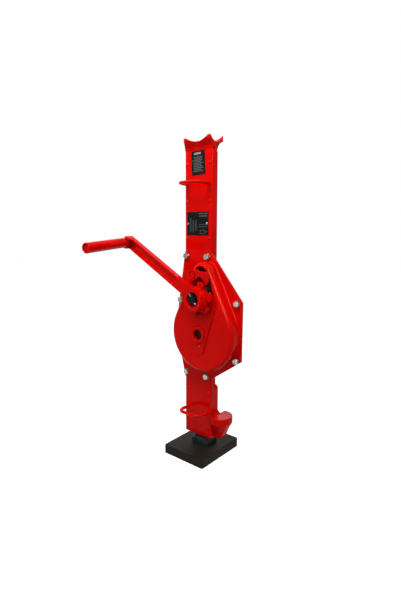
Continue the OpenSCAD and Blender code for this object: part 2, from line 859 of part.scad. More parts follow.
module cover_nuts() {
    color("#b8b8b4") for (p = bolt_places) difference() {
        hex_head(p[0], p[1], nut_flats, nut_h, bolt_back(p) + nut_h, nut_turn);
        bar_y(p[0], p[1], bolt_r, bolt_back(p) - cut, bolt_back(p) + nut_h + cut);
    }
}
nut_flats = 11;
nut_turn = 30;
nut_clear = 0.25;
nut_clear_r = nut_flats / sqrt(3) + nut_clear;

// Claw, head and bails

module lift_claw() {
    side_x = column_x + rear_outer_w / 2;
    shank_y = lip_back + claw_gap;
    shank_x = side_x + claw_shank_t;
    toe_x = column_right + toe_out;
    toe_y = rack_back + toe_back;
    heel_z = claw_bottom + heel_r;
    rim_z = claw_top - toe_rim;
    // Where the underside leaves the heel and reaches the toe's rim
    rise_x = claw_toe_r - rib_in;
    lean = atan2(rim_z - heel_z, rise_x);
    leave = lean - acos(heel_r / norm([rise_x, rim_z - heel_z]));
    color("#c00808") union() {
        // Shank welded to the rear channel's side, with the heel under the toe
        slab(shank_y, shank_y + claw_shank_w) polygon(concat(
            [[shank_x, claw_top + claw_web], [shank_x, claw_shank_top - claw_facet],
                [shank_x - claw_facet, claw_shank_top], [side_x, claw_shank_top], [side_x, heel_z]],
            arc(toe_x, heel_z, heel_r, heel_from, 360 + leave),
            [[toe_x + rise_x, rim_z], [toe_x + rise_x, claw_top], [shank_x + claw_web, claw_top]]));
        // Round toe that flares up from the heel
        difference() {
            translate([toe_x, toe_y, 0]) union() {
                translate([0, 0, rim_z]) cylinder(r = claw_toe_r, h = toe_rim);
                translate([0, 0, heel_z - toe_root]) cylinder(r1 = toe_root_r, r2 = claw_toe_r,
                    h = rim_z - heel_z + toe_root);
            }
            translate([column_right + claw_gap - 3 * claw_toe_r, toe_y - 2 * claw_toe_r, 0])
                cube([3 * claw_toe_r, 4 * claw_toe_r, claw_top + claw_toe_r]);
        }
    }
}
claw_gap = 0.4;
claw_web = 8;
claw_facet = 6;
toe_out = 8.5;
toe_back = 3.5;
toe_rim = 16;
toe_root = 7;
toe_root_r = 14;
heel_r = 17;
heel_from = 200;
rib_in = 4;

// Forged head: a plug inside the column and four flared horns with saddles between
module head_crown() {
    x0 = column_x + head_side;
    y0 = -head_front;
    front = y0 - head_d / 2;
    back = y0 + head_d / 2;
    half = head_w / 2;
    top = column_top + horn_back_h;
    neck_z = column_top + head_neck;
    flare_z = column_top + head_flare;
    sweep_l = column_x - rear_outer_w / 2 - (x0 - half);
    sweep_r = x0 + half - (column_x + rear_outer_w / 2);
    color("#c80808") difference() {
        union() {
            intersection() {
                union() {
                    // As wide as the front channel at its base, drawn in to the horns
                    slab(front, lip_back) polygon([
                        [column_left, column_top], [column_right, column_top], [column_right, neck_z],
                        [x0 + half, flare_z], [x0 + half, top], [x0 - half, top],
                        [x0 - half, flare_z], [column_left, neck_z]
                    ]);
                    // As wide as the rear channel at its base, swept out to the horns
                    slab(lip_back - cut, rear_outer) polygon(concat(
                        arc(column_x - rear_outer_w / 2 - sweep_l, column_top, sweep_l, 90, 0),
                        arc(column_x + rear_outer_w / 2 + sweep_r, column_top, sweep_r, 180, 90),
                        [[x0 + half, top], [x0 - half, top]]));
                }
                translate([x0 - head_w, 0, 0]) rotate([90, 0, 90]) linear_extrude(height = 2 * head_w)
                    polygon([
                        [web_front, column_top], [web_front, neck_z],
                        [front, flare_z], [front, column_top + horn_front_h],
                        [back, top], [back, flare_z], [rear_outer, neck_z], [rear_outer, column_top]
                    ]);
            }
            translate([column_x - rear_inner_w / 2 + plug_play, rack_front, column_top - plug_h])
                cube([rear_inner_w - 2 * plug_play, rear_inner - plug_play - rack_front, plug_h + cut]);
        }
        // Saddle across the width
        saddle_r = (pow(head_d / 2 - horn_land, 2) + saddle_drop * saddle_drop) / (2 * saddle_drop);
        translate([x0 - head_w, y0, column_top + horn_front_h - saddle_drop + saddle_r])
            rotate([0, 90, 0]) cylinder(r = saddle_r, h = 2 * head_w, $fn = 96);
        // Saddle from front to back
        saddle_wr = (pow(half - horn_land, 2) + saddle_drop * saddle_drop) / (2 * saddle_drop);
        translate([x0, y0 + head_d, column_top + horn_front_h - saddle_drop + saddle_lift + saddle_wr])
            rotate([90, 0, 0]) cylinder(r = saddle_wr, h = 2 * head_d, $fn = 128);
    }
}
head_side = 2;
head_neck = 5;
head_flare = 20;
saddle_lift = 2;
horn_land = 4;
plug_h = 10;
plug_play = 0.3;

module bail_holes(z) {
    for (s = [-1, 1])
        bar_y(column_x + s * bail_w / 2, z, bail_d / 2, web_front - cut, flange_back + cut);
}

// Bent rod handle, its legs welded in the column
module bail(z) {
    reach_y = web_front - bail_reach;
    half = bail_w / 2;
    color("#d00a0a") translate([column_x, 0, z]) {
        for (s = [-1, 1]) {
            translate([s * half, flange_back, 0]) rotate([90, 0, 0])
                cylinder(d = bail_d, h = flange_back - reach_y - bail_bend_r);
            translate([s * (half - bail_bend_r), reach_y + bail_bend_r, 0])
                rotate([0, 0, s > 0 ? -90 : 180]) rotate_extrude(angle = 90)
                    translate([bail_bend_r, 0]) circle(d = bail_d);
        }
        translate([-half + bail_bend_r, reach_y, 0]) rotate([0, 90, 0])
            cylinder(d = bail_d, h = bail_w - 2 * bail_bend_r);
    }
}
module upper_bail() { bail(bail_upper_z); }
module lower_bail() { bail(bail_lower_z); }

// Labels

module upper_label() {
    color("#16181a") translate([column_x, 0, column_top - label_upper_drop]) rotate([0, label_tilt, 0])
        slab(web_front - label_t, web_front) square([label_upper_w, label_upper_h], center = true);
}
label_upper_drop = 28;
label_tilt = -2.6;
label_above = 33.4;
label_lower_z = rivet_third_z + label_above;
label_set = 1;
label_x = column_x - label_set;
label_rivet_in = 4;
label_rivet_r = 1.6;
label_rivet_head_r = 2.6;
label_rivet_head_h = 1.2;
label_rivet_dx = label_lower_w / 2 - label_rivet_in;
module lower_label() {
    color("#101214") slab(web_front - label_t, web_front) difference() {
        translate([label_x, label_lower_z]) square([label_lower_w, label_lower_h], center = true);
        for (s = [-1, 1]) translate([label_x + s * label_rivet_dx, label_lower_z]) circle(r = label_rivet_r);
    }
}
module label_rivets() {
    color("#d8d8d4") for (s = [-1, 1]) {
        bar_y(label_x + s * label_rivet_dx, label_lower_z, label_rivet_r, web_front - label_t, web_front);
        bar_y(label_x + s * label_rivet_dx, label_lower_z, label_rivet_head_r,
            web_front - label_t - label_rivet_head_h, web_front - label_t);
    }
}

// Gear train body

module keyway() {
    translate([gear_x - key_w / 2, gear_front + (gear_face - key_len) / 2, gear_z + gear_seat_r - key_h / 2])
        cube([key_w, key_len, key_h]);
}
key_h = 7;

module pinion_shaft() {
    color("#55534f") difference() {
        union() {
            bar_y(gear_x, gear_z, front_journal_r, dome_inner - journal_in, gear_front - seat_over);
            bar_y(gear_x, gear_z, gear_seat_r, gear_front - seat_over, seat_back);
            bar_y(gear_x, gear_z, lift_root_r, seat_back, lift_front);
            slab(lift_front, lift_back) translate([gear_x, gear_z])
                gear_2d(rack_module, lift_teeth, tooth_shift, lift_tip_r, lift_root_r, 180);
            bar_y(gear_x, gear_z, rear_journal_r, lift_back, box_boss_back - journal_end);
        }
        keyway();
        ring_y(gear_x, gear_z, gear_seat_r + cut, gear_seat_r - clip_groove, gear_back + clip_gap,
            gear_back + clip_gap + clip_t);
    }
}
journal_in = 1;
journal_end = 1;
seat_over = 0.5;
clip_groove = 1.2;
clip_over = 1.3;
clip_gap = 0.3;
clip_t = 1.5;
clip_mouth = 5;

module main_gear() {
    color("#6a6862") difference() {
        slab(gear_front, gear_back) translate([gear_x, gear_z])
            gear_2d(gear_module, gear_teeth, -tooth_shift, gear_tip_r, gear_root_r, mesh_angle);
        bar_y(gear_x, gear_z, gear_seat_r, gear_front - cut, gear_back + cut);
        // Turned recess on the front and the back
        for (y = [gear_front - cut, gear_back - recess_t])
            ring_y(gear_x, gear_z, gear_root_r - rim_t, gear_seat_r + boss_t, y, y + recess_t + cut);
        keyway();
    }
}
recess_t = 3;
rim_t = 8;
boss_t = 10;

module gear_key() { color("#8a8a86") keyway(); }

module shaft_circlip() {
    color("#303030") difference() {
        ring_y(gear_x, gear_z, gear_seat_r + clip_over, gear_seat_r - clip_groove, gear_back + clip_gap,
            gear_back + clip_gap + clip_t);
        translate([gear_x - clip_mouth / 2, gear_back - cut, gear_z])
            cube([clip_mouth, clip_t + 2 * cut, 2 * gear_seat_r]);
    }
}

// Crank body

nut_seat = hub_front + hub_pocket;
thread_r = 8;
module crank_shaft() {
    color("#4c4a46") difference() {
        union() {
            bar_y(crank_x, crank_z, crank_journal_r, gear_back + pinion_over, web_front - shaft_end_gap);
            slab(gear_front - pinion_over, gear_back + pinion_over) translate([crank_x, crank_z])
                gear_2d(gear_module, crank_teeth, tooth_shift, crank_tip_r, crank_root_r,
                    mesh_angle + 180 + 180 / crank_teeth);
            bar_y(crank_x, crank_z, crank_journal_r, disc_front_front, gear_front - pinion_over);
            bar_y(crank_x, crank_z, thread_r, hub_front + shaft_end_in, disc_front_front);
        }
        cotter_hole();
    }
}
pinion_over = 1;
shaft_end_gap = 0.6;
shaft_end_in = 0.5;
cotter_in = 2.6;
cotter_y = hub_front + cotter_in;
cotter_r = 1.6;
module cotter_hole() {
    translate([crank_x, cotter_y, crank_z]) rotate([0, cotter_angle, 0])
        cylinder(r = cotter_r, h = 4 * hub_pocket_r, center = true, $fn = 32);
}
cotter_angle = -38;

module brake_flange() {
    color("#5a5854") ring_y(crank_x, crank_z, friction_r - flange_in, crank_journal_r,
        brake_back - brake_t, brake_back);
}
flange_in = 2;

module friction_discs() {
    color("#2a2724") {
        ring_y(crank_x, crank_z, friction_r, crank_journal_r, disc_rear_front, brake_back - brake_t);
        ring_y(crank_x, crank_z, friction_r, crank_journal_r, disc_front_front, ratchet_front);
    }
}

// Block teeth with radial flanks, as wide as the gaps between them
lock_angle = 57;
tooth_share = 0.5;
ratchet_step = 360 / ratchet_teeth;
land_span = ratchet_step * tooth_share;
gap_span = ratchet_step - land_span;
module ratchet_2d() {
    arc = 4;
    translate([crank_x, crank_z]) polygon([for (k = [0 : ratchet_teeth - 1])
        let (a = lock_angle + k * ratchet_step)
        each concat(
            [for (i = [0 : arc]) polar(ratchet_root_r, a - gap_span + gap_span * i / arc)],
            [for (i = [0 : arc]) polar(ratchet_r, a + land_span * i / arc)])]);
}
module ratchet_wheel() {
    color("#b40707") slab(ratchet_front, disc_rear_front) difference() {
        ratchet_2d();
        translate([crank_x, crank_z]) circle(r = crank_journal_r);
    }
}

// Places its children in the crank arm's frame: +X along the arm, -Z above its centre line
module arm_frame() {
    translate([crank_x, 0, crank_z]) rotate([0, -crank_angle, 0]) children();
}

module crank_arm() {
    z_mid = -crank_arm_rise;
    knuckle = crank_arm_w - 2 * ear_t;
    color("#c00808") difference() {
        union() {
            bar_y(crank_x, crank_z, hub_r - hub_step, hub_front, disc_front_front);
            bar_y(crank_x, crank_z, hub_r, hub_front + hub_nose, disc_front_front);
            bar_y(crank_x, crank_z, hub_r + hub_step, disc_front_front - hub_collar, disc_front_front);
            arm_frame() {
                translate([0, arm_front, z_mid - crank_arm_w / 2])
                    cube([crank_len + ear_r, crank_arm_t, crank_arm_w]);
                // Ears for the fold pin, standing in front of the arm's end
                translate([crank_len - ear_r, fold_y, z_mid - crank_arm_w / 2])
                    cube([2 * ear_r, fold_out + cut, crank_arm_w]);
                translate([crank_len, fold_y, z_mid - crank_arm_w / 2])
                    cylinder(r = ear_r, h = crank_arm_w);
            }
        }
        arm_frame() {
            // Recess that takes the folded grip
            translate([recess_start, arm_front - cut, z_mid - recess_half_w])
                cube([crank_len - recess_start - ear_r, recess_depth + cut, 2 * recess_half_w]);
            // Fork between the ears
            translate([crank_len - ear_r - 1.5 * grip_r, fold_y - ear_r - cut, z_mid - knuckle / 2])
                cube([2 * ear_r + 1.5 * grip_r + cut, fold_out + ear_r + 2 * cut - fork_floor, knuckle]);
            translate([crank_len, fold_y, z_mid - crank_arm_w])
                cylinder(r = fold_pin_r, h = 2 * crank_arm_w);
        }
        bar_y(crank_x, crank_z, hub_pocket_r, hub_front - cut, nut_seat);
        bar_y(crank_x, crank_z, thread_r, nut_seat - cut, disc_front_front + cut);
    }
}
hub_step = 1.5;
hub_nose = 3;
hub_collar = 4.5;
recess_start = 62;
ear_t = 4.5;
fork_floor = 0.5;

castle_h = 6.2;
crown_h = 2;
castle_slot = 3.6;
crown_in = 1.2;
slot_play = 0.3;
module castle_nut() {
    crown_front = nut_seat - castle_h - crown_h;
    slot_back = cotter_y + cotter_r + slot_play;
    color("#1c1c1c") difference() {
        union() {
            hex_head(crank_x, crank_z, castle_flats, castle_h, nut_seat, nut_turn);
            bar_y(crank_x, crank_z, castle_flats / 2 - crown_in, crown_front, nut_seat - castle_h + cut);
        }
        bar_y(crank_x, crank_z, thread_r, crown_front - cut, nut_seat + cut);
        for (k = [0 : 5])
            translate([crank_x, crown_front - cut, crank_z]) rotate([0, cotter_angle + 60 * k, 0])
                translate([-castle_slot / 2, 0, thread_r / 2])
                    cube([castle_slot, slot_back - crown_front + cut, castle_flats]);
    }
}
castle_flats = 24;

module cotter_pin() {
    color("#c8ccc8") translate([crank_x, cotter_y, crank_z]) rotate([0, cotter_angle, 0]) {
        cylinder(r = cotter_r - cotter_play, h = castle_flats + cotter_over, center = true, $fn = 32);
        translate([0, 0, castle_flats / 2 + cotter_eye_out]) sphere(r = cotter_eye_r, $fn = 32);
    }
}
cotter_play = 0.1;
cotter_over = 2;
cotter_eye_out = 2.5;
cotter_eye_r = 1.9;

module fold_pin() {
    over = 1.2;
    head_r = fold_pin_r + fold_pin_head;
    color("#c00808") arm_frame() translate([crank_len, fold_y, -crank_arm_rise - crank_arm_w / 2 - over])
        union() {
            cylinder(r = fold_pin_r, h = crank_arm_w + 2 * over);
            cylinder(r = head_r, h = over);
            translate([0, 0, crank_arm_w + over]) cylinder(r = head_r, h = over);
        }
}
fold_pin_head = 2;

// Pawl

pawl_set = 0.5;
pawl_front = ratchet_front + pawl_set;
pawl_back = pawl_front + pawl_t;
pawl_sink = 2.6;
pawl_arc_from = 85;
pawl_arc_to = 310;
// From the boss round the tip and back along the top, measured from the pivot
pawl_outline = [
    [13, -6], [23.5, -1], [33.5, -12], [37.8, -15], [36.8, -19.7], [40.9, -17.4],
    [42, -9], [41.5, 3], [38, 8.5], [24, 9.5]
];
module pawl() {
    color("#c40808") difference() {
        slab(pawl_front, pawl_back) polygon(concat(
            arc(pawl_x, pawl_z, pawl_boss_r, pawl_arc_from, pawl_arc_to),
            [for (p = pawl_outline) [pawl_x, pawl_z] + p]));
        bar_y(pawl_x, pawl_z, pawl_pin_r + running_play, pawl_front - cut, pawl_back + cut);
        bar_y(pawl_x, pawl_z, pawl_head_r + pawl_head_gap, pawl_front - cut, pawl_front + pawl_sink);
    }
}
pawl_head_r = 6.8;
pawl_head_gap = 2.6;
pawl_head_play = 0.4;
pawl_head_proud = 0.2;
spacer_wall = 4;
spacer_play = 0.3;

module pawl_pin() {
    color("#b80707") union() {
        bar_y(pawl_x, pawl_z, pawl_pin_r, pawl_front + pawl_sink - pawl_head_play, dome_front);
        bar_y(pawl_x, pawl_z, pawl_head_r, pawl_front - pawl_head_proud,
            pawl_front + pawl_sink - pawl_head_play);
    }
}

module pawl_spacer() {
    color("#a80606") ring_y(pawl_x, pawl_z, pawl_pin_r + spacer_wall, pawl_pin_r,
        pawl_back + spacer_play, plate_front);
}

// Folding grip, drawn along -Y from the fold pin and leaned towards the hub

module grip_frame() {
    arm_frame() translate([crank_len, fold_y, -crank_arm_rise]) rotate([0, 0, -grip_lean]) children();
}
sleeve_gap = 3;
eye_play = 0.6;
sleeve_start = ear_r + sleeve_gap;
eye_w = crank_arm_w - 2 * ear_t - eye_play;
end_recess = 6;
end_gap = 0.3;
stem_len = grip_reach - end_recess + end_gap;
module grip_stem() {
    color("#b40707") grip_frame() difference() {
        union() {
            translate([0, 0, -eye_w / 2]) cylinder(r = ear_r - eye_in, h = eye_w);
            rotate([90, 0, 0]) cylinder(r = stem_r, h = stem_len);
            translate([0, -sleeve_start + collar_gap, 0]) rotate([-90, 0, 0])
                cylinder(r = eye_w / 2, h = collar_t);
        }
        translate([0, 0, -crank_arm_w]) cylinder(r = fold_pin_r + running_play, h = 2 * crank_arm_w);
    }
}

eye_in = 0.5;
collar_gap = 0.4;
collar_t = 2.2;

module grip_sleeve() {
    len = grip_reach - sleeve_start;
    color("#d00a0a") grip_frame() translate([0, -sleeve_start, 0]) rotate([90, 0, 0]) difference() {
        cylinder(r = grip_r, h = len);
        translate([0, 0, len - end_recess]) cylinder(r = grip_r - grip_wall, h = end_recess + cut);
        translate([0, 0, -cut]) cylinder(r = stem_r + running_play, h = len);
    }
}

// Washer riveted on the stem's end, which keeps the sleeve on
module grip_end_cap() {
    color("#a00808") grip_frame() translate([0, -stem_len, 0]) rotate([90, 0, 0])
        cylinder(r = grip_r - grip_wall - cap_gap, h = cap_t);
}
cap_gap = 1.2;
cap_t = 3;

foot_plate();
rack_shoe();
rack();
front_channel();
rear_channel();
slide_pads();
channel_rivets();
left_wing_plate();
right_wing_plate();
rear_gear_box();
inner_bearing_plate();
gear_cover();
cover_bearing_plate();
gear_shaft_bush();
crank_shaft_bush();
rear_bush();
inner_bush();
bearing_plate_rivets();
cover_bolts();
cover_washers();
cover_nuts();
lift_claw();
head_crown();
upper_bail();
lower_bail();
upper_label();
lower_label();
label_rivets();
pawl_pin();
pawl_spacer();
pinion_shaft();
main_gear();
gear_key();
shaft_circlip();
crank_shaft();
brake_flange();
friction_discs();
ratchet_wheel();
crank_arm();
castle_nut();
cotter_pin();
fold_pin();
pawl();
grip_stem();
grip_sleeve();
grip_end_cap();
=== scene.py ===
"""Looks of a steel rack jack with a folding safety crank, in metres, in the part's own frame."""
import math

import bmesh
import bpy
from mathutils import Matrix, Vector


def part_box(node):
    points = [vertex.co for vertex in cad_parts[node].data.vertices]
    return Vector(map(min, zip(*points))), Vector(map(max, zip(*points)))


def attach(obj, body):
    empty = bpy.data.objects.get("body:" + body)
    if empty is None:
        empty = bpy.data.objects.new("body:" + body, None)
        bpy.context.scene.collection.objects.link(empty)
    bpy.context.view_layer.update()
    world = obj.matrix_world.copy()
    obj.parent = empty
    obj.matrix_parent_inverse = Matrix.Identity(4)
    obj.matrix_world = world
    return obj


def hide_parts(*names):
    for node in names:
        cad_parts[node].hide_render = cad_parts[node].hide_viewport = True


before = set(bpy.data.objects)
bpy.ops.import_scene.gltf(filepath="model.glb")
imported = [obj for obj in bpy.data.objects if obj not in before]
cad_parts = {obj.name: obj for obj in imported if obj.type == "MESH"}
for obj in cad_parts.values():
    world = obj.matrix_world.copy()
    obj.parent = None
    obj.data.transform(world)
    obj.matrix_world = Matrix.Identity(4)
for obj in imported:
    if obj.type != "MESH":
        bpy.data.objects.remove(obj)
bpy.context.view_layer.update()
MM = 0.001

# The camera stands where the photograph was taken from: right of the crank, a little above the
# gear case and tipped down. Its place and turn were fitted to the foot, the column and the cover.
camera_place = Vector((0.62071, -0.76078, 0.53331))
camera_turn = 0.68899
camera_tip = 0.15416
camera_roll = 0.00411
lens_mm = 24.83
sensor_mm = 36.0
near_clip = 0.05
right = Vector((math.cos(camera_turn), math.sin(camera_turn), 0))
ahead = Vector((-math.sin(camera_turn), math.cos(camera_turn), 0))
up = Vector((0, 0, 1))
look = ahead * math.cos(camera_tip) - up * math.sin(camera_tip)
above = ahead * math.sin(camera_tip) + up * math.cos(camera_tip)
side = right * math.cos(camera_roll) + above * math.sin(camera_roll)
crown = above * math.cos(camera_roll) - right * math.sin(camera_roll)
camera_data = bpy.data.cameras.new("camera")
camera_data.lens = lens_mm
camera_data.sensor_width = sensor_mm
camera_data.sensor_fit = "AUTO"
camera_data.clip_start = near_clip
camera = bpy.data.objects.new("camera", camera_data)
camera.matrix_world = Matrix((
    (side.x, crown.x, -look.x, camera_place.x),
    (side.y, crown.y, -look.y, camera_place.y),
    (side.z, crown.z, -look.z, camera_place.z),
    (0, 0, 0, 1)))
bpy.context.scene.collection.objects.link(camera)
bpy.context.scene.camera = camera

# Studio: a pale floor and a white surround. Soft light comes from overhead and from the front left,
# so that the red is brightest at the top and falls off towards the foot. A strip and a narrow glint
# on the right draw the highlights, and weak lamps fill the back and the head's underside.
FLOOR_HALF = 12.0
LIGHT_WHITE = 0.24
SHOWN_WHITE = 1.0
PAPER_GLOW = 0.88


def add_node(tree, kind, inputs=None, **settings):
    """Adds a node, sets its options, and fills or links its inputs."""
    node = tree.nodes.new(kind)
    for name, value in settings.items():
        setattr(node, name, value)
    for name, value in (inputs or {}).items():
        if isinstance(value, bpy.types.NodeSocket):
            tree.links.new(value, node.inputs[name])
        else:
            node.inputs[name].default_value = value
    return node


def linear(code):
    """An sRGB hex colour as linear values, opaque."""
    shares = [int(code[i:i + 2], 16) / 255 for i in (1, 3, 5)]
    return [s / 12.92 if s <= 0.04045 else ((s + 0.055) / 1.055) ** 2.4 for s in shares] + [1.0]


def seen_white(tree):
    """One for the rays that show the white surround: to the camera, mirrored and through glass."""
    rays = add_node(tree, "ShaderNodeLightPath").outputs
    mirrored = add_node(tree, "ShaderNodeMath", {
        0: rays["Is Camera Ray"], 1: rays["Is Glossy Ray"]}, operation="MAXIMUM")
    through = add_node(tree, "ShaderNodeMath", {
        0: mirrored.outputs[0], 1: rays["Is Transmission Ray"]}, operation="MAXIMUM")
    return through.outputs[0]


scene = bpy.context.scene
scene.view_settings.view_transform = "Standard"
world = bpy.data.worlds.new("studio")
scene.world = world
world.use_nodes = True
tree = world.node_tree
tree.nodes.clear()
seen = seen_white(tree)
dim = add_node(tree, "ShaderNodeBackground", {
    "Color": linear("#ffffff"), "Strength": LIGHT_WHITE})
white = add_node(tree, "ShaderNodeBackground", {
    "Color": linear("#ffffff"), "Strength": SHOWN_WHITE})
mix = add_node(tree, "ShaderNodeMixShader", {0: seen, 1: dim.outputs[0], 2: white.outputs[0]})
add_node(tree, "ShaderNodeOutputWorld", {"Surface": mix.outputs[0]})

floor_mesh = bmesh.new()
bmesh.ops.create_grid(floor_mesh, x_segments=1, y_segments=1, size=FLOOR_HALF)
floor_data = bpy.data.meshes.new("floor")
floor_mesh.to_mesh(floor_data)
floor_mesh.free()
floor = bpy.data.objects.new("floor", floor_data)
scene.collection.objects.link(floor)
paper = bpy.data.materials.new("white_paper_sweep")
paper.use_nodes = True
paper_tree = paper.node_tree
paper_tree.nodes.clear()
sheet = add_node(paper_tree, "ShaderNodeBsdfDiffuse", {"Color": linear("#b8b8b8")})
glow = add_node(paper_tree, "ShaderNodeEmission", {
    "Color": linear("#ffffff"), "Strength": PAPER_GLOW})
lit = add_node(paper_tree, "ShaderNodeAddShader", {0: sheet.outputs[0], 1: glow.outputs[0]})
paper_mix = add_node(paper_tree, "ShaderNodeMixShader", {
    0: seen_white(paper_tree), 1: sheet.outputs[0], 2: lit.outputs[0]})
add_node(paper_tree, "ShaderNodeOutputMaterial", {"Surface": paper_mix.outputs[0]})
floor_data.materials.append(paper)

LAMPS = [
    # name, place, target, width, height, watts
    ("overhead", (0.05, -0.50, 1.32), (0, 0, 0.68), 0.4, 0.4, 9),
    ("key", (-0.50, -1.30, 1.50), (0, 0, 0.62), 0.7, 0.7, 9.5),
    ("strip_right", (1.15, -0.25, 1.25), (0.03, 0, 0.66), 0.14, 0.6, 9),
    ("back_fill", (-0.9, 1.3, 1.0), (0, 0, 0.5), 1.0, 1.0, 6),
    ("glint", (1.00, -1.00, 1.25), (0.03, 0, 0.45), 0.05, 0.7, 45),
    ("head_fill", (-0.25, -0.90, 0.30), (0.03, 0, 0.75), 0.3, 0.3, 0.4),
]
GLINTS = ("glint",)    # lamps that show in gloss alone
for name, place, target, width, height, watts in LAMPS:
    lamp_data = bpy.data.lights.new(name, "AREA")
    lamp_data.shape = "RECTANGLE"
    lamp_data.size = width
    lamp_data.size_y = height
    lamp_data.energy = watts
    lamp = bpy.data.objects.new(name, lamp_data)
    lamp.location = place
    lamp.rotation_euler = (Vector(target) - Vector(place)).to_track_quat("-Z", "Y").to_euler()
    lamp.visible_diffuse = name not in GLINTS
    scene.collection.objects.link(lamp)

# Foot plate: a flat forging with rounded corners in satin black stoving paint, which takes a brown
# tinge on top from the floor's dust. It is one plate, with a pocket for the rack in its middle.
MERGE_MM = 0.002
FLAT_DEG = 0.4
SHARP_DEG = 32
SMOOTH_DEG = 38
ROUND_PROFILE = 0.5


def merged_copy(node):
    """A CAD node's mesh as a bmesh, with its doubled points merged."""
    bm = bmesh.new()
    bm.from_mesh(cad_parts[node].data)
    bmesh.ops.remove_doubles(bm, verts=bm.verts, dist=MERGE_MM * MM)
    return bm


def flat_copy(node):
    """The same, with the triangles of each flat joined into one face."""
    bm = merged_copy(node)
    bmesh.ops.dissolve_limit(bm, angle_limit=math.radians(FLAT_DEG), verts=bm.verts,
                             edges=bm.edges)
    return bm


def edges_over(bm, degrees):
    """The edges whose two faces meet at more than an angle."""
    return [e for e in bm.edges if e.is_manifold and e.calc_face_angle() > math.radians(degrees)]


def round_off(bm, edges, width_mm, steps, clamp=True):
    """Puts a small round on edges."""
    bmesh.ops.bevel(bm, geom=edges, offset=width_mm * MM, offset_type="OFFSET", affect="EDGES",
                    segments=steps, profile=ROUND_PROFILE, clamp_overlap=clamp, material=-1)


def piece_from(bm, name, material, body, nodes=(), smooth_deg=SMOOTH_DEG, weighted=True):
    """Makes a finished object of a bmesh, and has it ride on its body in place of its CAD nodes."""
    mesh = bpy.data.meshes.new(name)
    bm.to_mesh(mesh)
    bm.free()
    mesh.materials.append(material)
    mesh.polygons.foreach_set("use_smooth", [True] * len(mesh.polygons))
    mesh.set_sharp_from_angle(angle=math.radians(smooth_deg))
    piece = bpy.data.objects.new(name, mesh)
    scene.collection.objects.link(piece)
    if weighted:
        normals = piece.modifiers.new("even_shading", "WEIGHTED_NORMAL")
        normals.keep_sharp = True
    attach(piece, body)
    if nodes:
        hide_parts(*nodes)
    return piece


def dressed(node, edge_mm, material, body, steps=2, smooth_deg=SMOOTH_DEG):
    """Stands for a CAD node with the same shape and softly broken edges."""
    bm = flat_copy(node)
    round_off(bm, edges_over(bm, SHARP_DEG), edge_mm, steps)
    return piece_from(bm, node + "_dressed", material, body, [node], smooth_deg)


BLOTCH_DETAIL = 4.0
BLOTCH_ROUGHNESS = 0.55
GRAIN_DETAIL = 3.0
GRAIN_ROUGHNESS = 0.5
DEEP_UNTIL = 0.32        # where on the blotches' 0 to 1 the deep colour ends
COLOUR_FROM = 0.66       # and where the finish's own colour starts
SMOOTH_UNTIL = 0.3       # the same for the roughness
ROUGH_FROM = 0.7


def finish(name, colour, deep, roughness, metallic=0.0, blotch_mm=40, grain_mm=1.5, bump_mm=0.03,
           specular=0.5, rough_spread=0.06, gloss_tint="#ffffff"):
    """A finish whose colour drifts over blotch_mm and whose surface ripples over grain_mm."""
    material = bpy.data.materials.new(name)
    material.use_nodes = True
    tree = material.node_tree
    tree.nodes.clear()
    place = add_node(tree, "ShaderNodeTexCoord").outputs["Object"]
    blotch = add_node(tree, "ShaderNodeTexNoise", {
        "Vector": place, "Scale": 1 / (blotch_mm * MM), "Detail": BLOTCH_DETAIL,
        "Roughness": BLOTCH_ROUGHNESS})
    tint = add_node(tree, "ShaderNodeValToRGB", {"Fac": blotch.outputs["Fac"]})
    tint.color_ramp.elements[0].position = DEEP_UNTIL
    tint.color_ramp.elements[0].color = linear(deep)
    tint.color_ramp.elements[1].position = COLOUR_FROM
    tint.color_ramp.elements[1].color = linear(colour)
    grain = add_node(tree, "ShaderNodeTexNoise", {
        "Vector": place, "Scale": 1 / (grain_mm * MM), "Detail": GRAIN_DETAIL,
        "Roughness": GRAIN_ROUGHNESS})
    rough = add_node(tree, "ShaderNodeMapRange", {
        "Value": blotch.outputs["Fac"], "From Min": SMOOTH_UNTIL, "From Max": ROUGH_FROM,
        "To Min": roughness - rough_spread, "To Max": roughness + rough_spread})
    bump = add_node(tree, "ShaderNodeBump", {
        "Strength": 1.0, "Distance": bump_mm * MM, "Height": grain.outputs["Fac"]})
    shader = add_node(tree, "ShaderNodeBsdfPrincipled", {
        "Base Color": tint.outputs["Color"], "Metallic": metallic,
        "Roughness": rough.outputs["Result"], "Specular IOR Level": specular,
        "Specular Tint": linear(gloss_tint), "Normal": bump.outputs["Normal"]})
    add_node(tree, "ShaderNodeOutputMaterial", {"Surface": shader.outputs["BSDF"]})
    return material


# The paint lies over a forged skin: nearly black, with broad soft marks and a fine tooth.
foot_paint = finish("black_stoving_paint", "#1f1a12", "#100d09", 0.55, blotch_mm=45, grain_mm=0.9,
                    bump_mm=0.05, specular=0.06)
dressed("foot_plate", 0.9, foot_paint, "stand", steps=3)

# Rack shoe: a forged collar welded on the foot, bevelled all round, in dark bluish steel with a
# burnt skin. The rack stands in it; its bevels catch a dull light.
shoe_steel = finish("burnt_forging_skin", "#3c4648", "#1d2324", 0.42, metallic=0.7, blotch_mm=9,
                    grain_mm=1.2, bump_mm=0.16)
dressed("rack_shoe", 1.2, shoe_steel, "stand", steps=3)

# Rack: a bar with milled teeth, oiled, seen below the housing and along its whole height when the
# housing is up. Milling leaves faint lines, and the oil darkens it.
rack_steel = finish("oiled_milled_steel", "#5a5853", "#35332f", 0.3, metallic=1.0, blotch_mm=25,
                    grain_mm=0.6, bump_mm=0.02)
dressed("rack", 0.35, rack_steel, "stand", steps=1)

